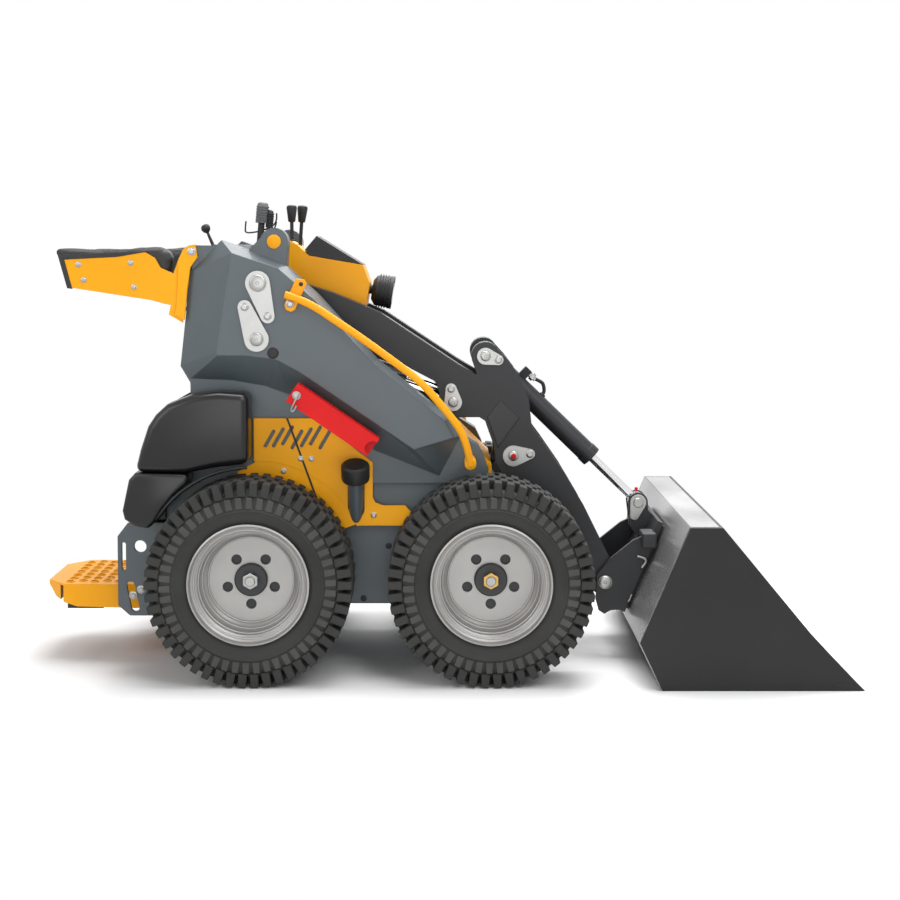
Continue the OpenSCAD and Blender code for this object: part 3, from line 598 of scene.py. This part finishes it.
throttleSettings = {
    "place": (-676, -120, 1232.2), "lean": -23,
    "profile": [(0, -3), (10, -3), (10, 2), (5, 5), (4, 44), (7, 46), (11, 50), (13.5, 56), (13.8, 60), (12, 66),
                (8, 69.5), (0, 71)],
}
throttle = turned("throttleStem", throttleSettings["profile"],
                  at(*throttleSettings["place"]) @ turn(throttleSettings["lean"], "Y"), 28)
finished(throttle, "chassis", "mouldedPlastic", "cover_black", "throttle_lever")
print("hand controls done")


# work lamp

workLampSettings = {
    "place": (-217.08, 0, 1103.24), "turn": 99.32, "finR": (46.5, 51), "finH": 3, "fins": (26, 34, 42, 50),
    "lens": [(0, 66.3), (42, 66.3), (41, 68.5), (30, 71.5), (15, 73), (0, 73.4)],
}
lampPlace = at(*workLampSettings["place"]) @ turn(workLampSettings["turn"], "Y")
lens = turned("lampLens", workLampSettings["lens"], lampPlace, 40, 60)
finished(lens, "chassis", "lampLens", "rod_chrome")
inner, outer = workLampSettings["finR"]
fins = []
for low in workLampSettings["fins"]:
    high = low + workLampSettings["finH"]
    fins.append(turned("lampFin", [(inner, low), (outer, low), (outer, high), (inner, high)], lampPlace, 32))
finished(joined("lampFins", fins), "chassis", "mouldedPlastic", "cover_black")
print("work lamp done")


# deck studs

studSettings = {
    "rows": 6, "across": 7, "rearX": -1108, "pitchX": 36, "pitchY": 50, "shift": 12, "z": 232.2,
    "profile": [(9, 0), (13.5, 0), (12.4, 2.2), (10.6, 3), (9.2, 2.2)],
}
stud = spunPiece("stud", studSettings["profile"], 18)
smooth(stud)
studPlaces = []
for i in range(studSettings["rows"]):
    x = studSettings["rearX"] + studSettings["pitchX"] * i
    for j in range(studSettings["across"]):
        y = (j - studSettings["across"] // 2) * studSettings["pitchY"] + studSettings["shift"] * (i % 2)
        studPlaces.append(at(x, y, studSettings["z"]))
finished(copied("deckStuds", stud, studPlaces), "chassis", "yellowPaint", "paint_yellow")
print("deck done")


# filler cap

capSettings = {
    "place": (-246, -263.6, 440), "turn": 22,
    "profile": [(0, 183.4), (28, 183.4), (35, 182.6), (40, 178), (41, 172), (41, 140), (39.6, 133), (39.2, 133),
                (39.2, 178.4), (0, 178.4)],
}
cap = turned("fillerCap", capSettings["profile"], at(*capSettings["place"]) @ turn(capSettings["turn"], "X"), 48)
finished(cap, "chassis", "mouldedPlastic", "cover_black")
print("filler cap done")


# rear covers

coverSettings = {
    "upper": [(-545.3, 816), (-633, 821), (-704, 813), (-775, 786), (-808, 756), (-830, 723), (-852, 657), (-868, 594),
              (-720, 590), (-640, 606), (-545.3, 616)],
    "lower": [(-866, 592), (-884, 572), (-903, 484), (-897, 459), (-868, 440), (-830, 433), (-812, 450), (-790, 487),
              (-756, 528), (-716, 562), (-720, 588)],
    "inner": 275.4, "upperOut": 397, "lowerOut": 400, "upperBevel": 22, "lowerBevel": 9, "bevelAngle": 50,
    # rolled edge of the wheel arch, round the rear axle
    "axle": (-538, 290), "archR": 318, "archY": 392, "archTube": 5, "archAngles": range(92, 149, 8),
}


def coverPlate(name, outline, out, bevel, segments, side):
    plate = platePiece(name, outline, side * coverSettings["inner"], side * out)
    applyModifier(plate, "BEVEL", width=bevel / 1000, segments=segments, limit_method="ANGLE",
                  angle_limit=math.radians(coverSettings["bevelAngle"]))
    return plate


def archPoint(angle, side):
    (x, z), r = coverSettings["axle"], coverSettings["archR"]
    a = math.radians(angle)
    return (x + r * math.cos(a), side * coverSettings["archY"], z + r * math.sin(a))


for sideName, side in bothSides:
    upper = coverPlate("coverUpper", coverSettings["upper"], coverSettings["upperOut"], coverSettings["upperBevel"],
                       5, side)
    lower = coverPlate("coverLower", coverSettings["lower"], coverSettings["lowerOut"], coverSettings["lowerBevel"],
                       3, side)
    arch = tubePiece("coverArch", [archPoint(angle, side) for angle in coverSettings["archAngles"]],
                     coverSettings["archTube"])
    cover = joined("rearCover_" + sideName, [upper, lower, arch])
    smooth(cover, 32)
    finished(cover, "chassis", "coverPlastic", "cover_black", "fender_" + sideName)
print("rear covers done")


# small parts of the towers

towerSettings = {
    # each cap: name, body, finish, slot, place, steps and profile
    "caps": [
        ("humpDisc_", "chassis", "yellowPaint", "paint_yellow", (-481, 275, 1246), 36,
         [(0, 0.2), (20, 0.2), (20.5, 1), (20, 3.4), (18, 4.4), (0, 4.8)]),
        ("towerPlug_", "chassis", "mouldedPlastic", "cover_black", (-479, 340, 928.5), 28,
         [(0, 0.2), (10, 0.2), (15, 0.6), (16, 2), (13, 4.5), (0, 5.5)]),
        ("greaseCap_", "boom", "redPaint", "paint_red", (215, 165, 611), 20,
         [(0, 3), (6, 3), (8, 4), (7, 6), (0, 6.6)]),
    ],
    "tubHoleShades": [(-153, 262, 360), (-226, 262, 205)], "tubHoleShade": [(0, 0.2), (9, 0.2), (9, 1.6), (6, 2.6), (0, 2.6)],
    "strutPin": [(-400, -400, 822), (-407, -400, 806), (-416, -399, 788), (-424, -397, 772), (-421, -396, 765),
                 (-414, -396, 770), (-408, -397, 784)],
    "strutPinR": 2.6,
}
for sideName, side in bothSides:
    for name, body, look, slot, place, steps, profile in towerSettings["caps"]:
        finished(turned(name + sideName, profile, onSide(place, side), steps), body, look, slot)
    # black discs on the tub where it has two holes: painted shade for the dark inside of the holes
    tubHoleShades = [turned("tubHoleShade", towerSettings["tubHoleShade"], onSide(place, side), 24)
                for place in towerSettings["tubHoleShades"]]
    finished(joined("tubHoleShades_" + sideName, tubHoleShades), "chassis", "mouldedPlastic", "cover_black")
strutPin = tubePiece("strutPin", towerSettings["strutPin"], towerSettings["strutPinR"], 3)
finished(strutPin, "chassis", "pinSteel", "pin_steel")
print("tower caps done")


# oil lines on the bucket cylinder

lineSettings = {
    "foot": (132, 908), "along": (0.71772, -0.69634), "out": (0.69634, 0.71772), "turn": 44.134,
    "port": 133, "block": ((-13, -14, 27), (13, 14, 60)), "blockBevel": 2,
    "tube": [(164, 50), (186, 58), (198, 57), (212, 46), (217, 38), (218, 26)], "tubeR": 5.5,
    "weldAt": 218, "weld": [(5, 28), (10, 28), (10, 33), (8, 36), (5, 36)], "nutOut": 50,
    "nut": [(0, 13), (9, 13), (9, 18), (12, 18), (12.6, 19), (12.6, 29), (12, 30), (7, 30), (7, 36), (0, 36)],
    "capPlace": (600, 0, 481), "cap": [(0, 0), (3, 0), (3, 5), (5, 6), (5.5, 10), (4, 13), (0, 13)],
}


def onBarrel(along, out):  # point by the bucket cylinder, in mm
    foot, a, n = lineSettings["foot"], lineSettings["along"], lineSettings["out"]
    return (foot[0] + along * a[0] + out * n[0], 0, foot[1] + along * a[1] + out * n[1])


def onBarrelMatrix(along):  # local X runs down the barrel and Z out of it
    return at(*onBarrel(along, 0)) @ turn(lineSettings["turn"], "Y")


portPlace = onBarrelMatrix(lineSettings["port"])
block = boxPiece("portBlock", *lineSettings["block"], lineSettings["blockBevel"])
block.data.transform(portPlace)
tube = tubePiece("oilTube", [onBarrel(along, out) for along, out in lineSettings["tube"]], lineSettings["tubeR"])
weld = turned("tubeWeld", lineSettings["weld"], onBarrelMatrix(lineSettings["weldAt"]), 24)
finished(joined("cylinderTube", [block, tube, weld]), "tilt_cylinder", "mouldedPlastic", "cover_black")
nut = spunPiece("portNut", lineSettings["nut"], 6)
nut.data.transform(portPlace @ at(0, 0, lineSettings["nutOut"]) @ turn(90, "Y"))
finished(nut, "tilt_cylinder", "pinSteel", "pin_steel")
eyeCap = turned("eyeCap", lineSettings["cap"], at(*lineSettings["capPlace"]), 20)
finished(eyeCap, "tilt_piston", "redPaint", "paint_red")
print("oil lines done")


# bucket

bucketSettings = {
    "boltX": 1112, "boltZ": 19.6, "boltY": (-460, -300, -150, 0, 150, 300, 460),
    "bolt": [(0, 0.2), (15, 0.2), (15, 1.2), (12.5, 3.2), (0, 4)],
    "weld": [(776, 447), (700, 447), (694, 440), (566, 136), (622, 12), (640, 9), (1080, 9)], "weldY": 511, "weldR": 3,
    # light grey sheets over the flange, back and heel: a painted highlight on the bucket's dark paint, standing in for
    # the sheen on its rolled faces
    "highlightSheets": [[(770, 456), (691, 456), (691, 456.8), (770, 456.8)],
               [(690, 456), (553, 131), (551.2, 131.8), (688.2, 456.8)],
               [(553, 131), (612, 6.3), (610.6, 5.7), (551.6, 130.4)]],
    "highlightSheetY": 506, "ribs": (-260, 0, 260), "ribX": (700, 770), "ribZ": (440, 448.2), "ribHalf": 5, "ribBevel": 1.5,
}
plough = spunPiece("edgeBolt", bucketSettings["bolt"], 20)
smooth(plough)
boltPlaces = [at(bucketSettings["boltX"], y, bucketSettings["boltZ"]) for y in bucketSettings["boltY"]]
finished(copied("edgeBolts", plough, boltPlaces), "bucket_tool", "pinSteel", "pin_steel")
beads = []
for side in (-1, 1):
    points = [(x, side * bucketSettings["weldY"], z) for x, z in bucketSettings["weld"]]
    beads.append(tubePiece("weldBead", points, bucketSettings["weldR"], 2))
finished(joined("bucketWelds", beads), "bucket_tool", "bucketPaint", "paint_dark")
highlightSheetY = bucketSettings["highlightSheetY"]
# these sheets carry a painted highlight over the bucket's dark paint
highlightSheets = [platePiece("bucketHighlightSheet", outline, -highlightSheetY, highlightSheetY) for outline in bucketSettings["highlightSheets"]]
finished(joined("bucketHighlightSheets", highlightSheets), "bucket_tool", "bucketPaintedHighlight", "paint_dark")
(rear, front), (low, high) = bucketSettings["ribX"], bucketSettings["ribZ"]
half = bucketSettings["ribHalf"]
ribs = [boxPiece("backRib", (rear, y - half, low), (front, y + half, high), bucketSettings["ribBevel"])
        for y in bucketSettings["ribs"]]
finished(joined("flangeRibs", ribs), "bucket_tool", "bucketPaint", "paint_dark")
print("bucket done")


# locks of the quick-attach plate

lockSettings = {
    "bars": [[(584, 313), (603, 310), (611, 300), (604, 287), (597, 279)], [(567, 199), (563, 188), (558, 177)]],
    "barY": 177, "barR": 4.5, "boxX": (596, 637), "boxY": (118, 208), "boxZ": (342, 386), "boxBevel": 4,
    "eye": (602, 452), "eyeR": 25, "tail": (591, 412), "tailR": 14, "plateY": (34.3, 39.3), "plateBevel": 1.2,
    "pin": [(0, 4.8), (15, 4.8), (15, 8), (13, 10), (0, 10)],
}


def roundEnd(centre, radius, start, count, step=15):  # points on an arc, a step in degrees apart
    angles = [start + math.radians(step * i) for i in range(count)]
    return [(centre[0] + radius * math.cos(a), centre[1] + radius * math.sin(a)) for a in angles]


eye, tail = lockSettings["eye"], lockSettings["tail"]
eyeTurn = math.atan2(tail[1] - eye[1], tail[0] - eye[0])
eyeOutline = roundEnd(eye, lockSettings["eyeR"], eyeTurn + math.radians(75), 15)
eyeOutline += roundEnd(tail, lockSettings["tailR"], eyeTurn - math.radians(75), 11)
for sideName, side in bothSides:
    bars = [tubePiece("lockBar", [(x, side * lockSettings["barY"], z) for x, z in points], lockSettings["barR"])
            for points in lockSettings["bars"]]
    finished(joined("lockBars_" + sideName, bars), "bucket_tool", "pinSteel", "pin_steel")
    (x0, x1), (y0, y1), (z0, z1) = lockSettings["boxX"], lockSettings["boxY"], lockSettings["boxZ"]
    box = boxPiece("lockBox_" + sideName, (x0, side * y0, z0), (x1, side * y1, z1), lockSettings["boxBevel"])
    finished(box, "bucket_tool", "castMetal", "paint_dark")
    y0, y1 = lockSettings["plateY"]
    plate = platePiece("eyePlate_" + sideName, eyeOutline, side * y0, side * y1, lockSettings["plateBevel"])
    pinHead = turned("eyePin", lockSettings["pin"], facing(eye[0], side * y0, eye[1], side), 32)
    finished(joined("eyePlate_" + sideName, [plate, pinHead]), "bucket_tool", "pinSteel", "pin_steel")
print("locks done")


# operator's panel

panelSettings = {
    "face": (-735.6, 0, 1130), "slope": 12.53, "board": ((-130, 12, 0.4), (130, 92, 5)), "boardBevel": 2,
    # each dial: across, up and radius
    "dials": [(-78, 56, 27), (0, 60, 36), (78, 56, 27)], "needleHalf": 1.2, "needleBevel": 0.4,
    "switches": (-110, -52, -26, 26, 52, 110), "switchHalf": 7, "switchBevel": 1.5,
    "bar": [(-748, -150, 1085), (-790, -150, 1090), (-806, -140, 1092), (-806, -100, 1092), (-806, 100, 1092),
            (-806, 140, 1092), (-790, 150, 1090), (-748, 150, 1085)],
    "barR": 12,
}
panelPlace = at(*panelSettings["face"]) @ turn(panelSettings["slope"] - 90, "Y") @ turn(90, "Z")
board = boxPiece("panelBoard", *panelSettings["board"], panelSettings["boardBevel"])
board.data.transform(panelPlace)
finished(board, "chassis", "mouldedPlastic", "cover_black")
bezels, faces, needles = [], [], []
for x, y, r in panelSettings["dials"]:
    dialPlace = panelPlace @ at(x, y, 0)
    bezel = [(r - 4, 4.6), (r, 4.6), (r, 9), (r - 1.5, 10.5), (r - 4, 9)]
    bezels.append(turned("dialBezel", bezel, dialPlace, 36))
    face = [(0, 5), (r - 4.2, 5), (r - 4.2, 7), (r - 8, 7.6), (0, 7.8)]
    faces.append(turned("dialFace", face, dialPlace, 36))
    half = panelSettings["needleHalf"]
    needle = boxPiece("dialNeedle", (x - half, y - 3, 7.4), (x + half, y + r - 12, 8.8), panelSettings["needleBevel"])
    needle.data.transform(panelPlace)
    needles.append(needle)
finished(joined("dialBezels", bezels), "chassis", "pinSteel", "pin_steel")
finished(joined("dialFaces", faces), "chassis", "lampLens", "rod_chrome")
finished(joined("dialNeedles", needles), "chassis", "redPaint", "paint_red")
half = panelSettings["switchHalf"]
switches = [boxPiece("switch", (x - half, 18, 4.6), (x + half, 34, 9), panelSettings["switchBevel"])
            for x in panelSettings["switches"]]
switches = joined("panelSwitches", switches)
switches.data.transform(panelPlace)
finished(switches, "chassis", "gripRubber", "cover_black")
bar = tubePiece("holdBar", panelSettings["bar"], panelSettings["barR"], 5)
finished(bar, "chassis", "mouldedPlastic", "cover_black")
print("operator's panel done")


# side panel skirts and seam, and painted shade in the arm recess

seamSettings = {
    "skirt": [(-540, 660), (-540, 607), (-591, 579), (-583, 566), (-503, 545), (-410, 508), (-349, 459), (-280, 414),
              (-244, 428), (-290, 508), (-380, 619)],
    "skirtY": (275.5, 283), "skirtBevel": 1,
    "seam": [(-448, 736), (-442, 736), (-359, 506), (-365, 506)], "seamY": (-283.5, -284.3),
    "recessShade": [(177, 778), (234, 724), (169, 634), (137, 726)], "recessShadeY": (-155.2, -157), "recessShadeBevel": 0.6,
}
for sideName, side in bothSides:
    low, high = seamSettings["skirtY"]
    skirt = platePiece("panelSkirt_" + sideName, seamSettings["skirt"], side * low, side * high,
                       seamSettings["skirtBevel"])
    # the skirts share the panels' brightened yellow: painted light
    finished(skirt, "chassis", "panelYellowPaintedLight", "paint_yellow")
seam = platePiece("panelSeam", seamSettings["seam"], *seamSettings["seamY"])
finished(seam, "chassis", "mouldedPlastic", "cover_black")
# a near-black plate in the arm's recess, darker than the arm's own paint: painted shade
recessShade = platePiece("armRecessShade", seamSettings["recessShade"], *seamSettings["recessShadeY"], seamSettings["recessShadeBevel"])
finished(recessShade, "boom", "coverPlastic", "paint_dark")
print("seams done")


# stage

stageSettings = {
    "lens": 65.6, "sensor": 36, "place": (0, -5.005, 1.224), "pitch": 3.55, "shift": (0.01, -0.11),
    "sky": (0.95, 0.97, 1.0, 1), "skyStrength": 0.17, "white": (1, 1, 1, 1),
    "floorSize": 60, "floorZ": -0.0005, "floorColor": (0.97, 0.97, 0.97, 1), "floorRough": 0.85, "fade": (0.9, 2.0),
}


def rayChoice(tree):  # 1 for what is seen or mirrored, 0 for light
    path = tree.nodes.new("ShaderNodeLightPath")
    seen = tree.nodes.new("ShaderNodeMath")
    seen.operation = "MAXIMUM"
    tree.links.new(path.outputs["Is Camera Ray"], seen.inputs[0])
    tree.links.new(path.outputs["Is Glossy Ray"], seen.inputs[1])
    both = tree.nodes.new("ShaderNodeMath")
    both.operation = "MAXIMUM"
    tree.links.new(seen.outputs[0], both.inputs[0])
    tree.links.new(path.outputs["Is Transmission Ray"], both.inputs[1])
    return both.outputs[0]


def mixed(tree, choice, first, second):
    mix = tree.nodes.new("ShaderNodeMixShader")
    for place, socket in enumerate((choice, first, second)):
        tree.links.new(socket, mix.inputs[place])
    return mix.outputs[0]


scene = bpy.context.scene
world = bpy.data.worlds.new("studio")
scene.world = world
world.use_nodes = True
worldTree = world.node_tree
sky = worldTree.nodes["Background"]
sky.inputs["Color"].default_value = stageSettings["sky"]
sky.inputs["Strength"].default_value = stageSettings["skyStrength"]
worldWhite = worldTree.nodes.new("ShaderNodeBackground")
worldWhite.inputs["Color"].default_value = stageSettings["white"]
worldLook = mixed(worldTree, rayChoice(worldTree), sky.outputs[0], worldWhite.outputs[0])
worldTree.links.new(worldLook, worldTree.nodes["World Output"].inputs["Surface"])

deselectAll()
bpy.ops.mesh.primitive_plane_add(size=stageSettings["floorSize"], location=(0, 0, stageSettings["floorZ"]))
floor = bpy.context.object
floor.name = "floor"
floorMaterial = bpy.data.materials.new("paleFloor")
floorMaterial.use_nodes = True
floorTree = floorMaterial.node_tree
floorShade = floorTree.nodes["Principled BSDF"]
floorShade.inputs["Base Color"].default_value = stageSettings["floorColor"]
floorShade.inputs["Roughness"].default_value = stageSettings["floorRough"]
floorPlace = floorTree.nodes.new("ShaderNodeTexCoord")
floorReach = floorTree.nodes.new("ShaderNodeVectorMath")
floorReach.operation = "LENGTH"
floorTree.links.new(floorPlace.outputs["Object"], floorReach.inputs[0])
floorFade = floorTree.nodes.new("ShaderNodeMapRange")  # the shadow fades out into white
floorFade.interpolation_type = "SMOOTHSTEP"
floorFade.inputs["From Min"].default_value, floorFade.inputs["From Max"].default_value = stageSettings["fade"]
floorTree.links.new(floorReach.outputs["Value"], floorFade.inputs["Value"])
floorWhite = floorTree.nodes.new("ShaderNodeEmission")
floorSeen = mixed(floorTree, floorFade.outputs["Result"], floorShade.outputs[0], floorWhite.outputs[0])
floorLook = mixed(floorTree, rayChoice(floorTree), floorShade.outputs[0], floorSeen)
floorTree.links.new(floorLook, floorTree.nodes["Material Output"].inputs["Surface"])
floor.data.materials.append(floorMaterial)

lightSettings = [
    {"name": "keyLight", "place": (2.2, -3.6, 4.2), "aim": (0.1, 0, 0.6), "size": 3.2, "power": 112},
    {"name": "fillLight", "place": (-3.4, -3.0, 2.6), "aim": (-0.2, 0, 0.6), "size": 2.6, "power": 50},
    {"name": "topLight", "place": (0.2, 0.5, 5.2), "aim": (0, 0, 0), "size": 3.4, "power": 310},
    {"name": "lowLight", "place": (-0.4, -5.4, 1.0), "aim": (-0.2, 0, 0.5), "size": 2.6, "power": 40},
    {"name": "backLight", "place": (0.5, 3.6, 3.6), "aim": (0, 0, 0.7), "size": 3.0, "power": 90},
]
for settings in lightSettings:
    deselectAll()
    bpy.ops.object.light_add(type="AREA", location=settings["place"])
    light = bpy.context.object
    light.name = settings["name"]
    light.data.size = settings["size"]
    light.data.energy = settings["power"]
    aim = Vector(settings["aim"]) - Vector(settings["place"])
    light.rotation_euler = aim.to_track_quat("-Z", "Y").to_euler()

bpy.ops.object.camera_add(location=stageSettings["place"],
                          rotation=(math.radians(90 - stageSettings["pitch"]), 0, 0))
camera = bpy.context.object
camera.data.lens = stageSettings["lens"]
camera.data.sensor_width = stageSettings["sensor"]
camera.data.shift_x, camera.data.shift_y = stageSettings["shift"]
scene.camera = camera
scene.view_settings.view_transform = "Standard"
print("stage done")

bpy.context.view_layer.update()
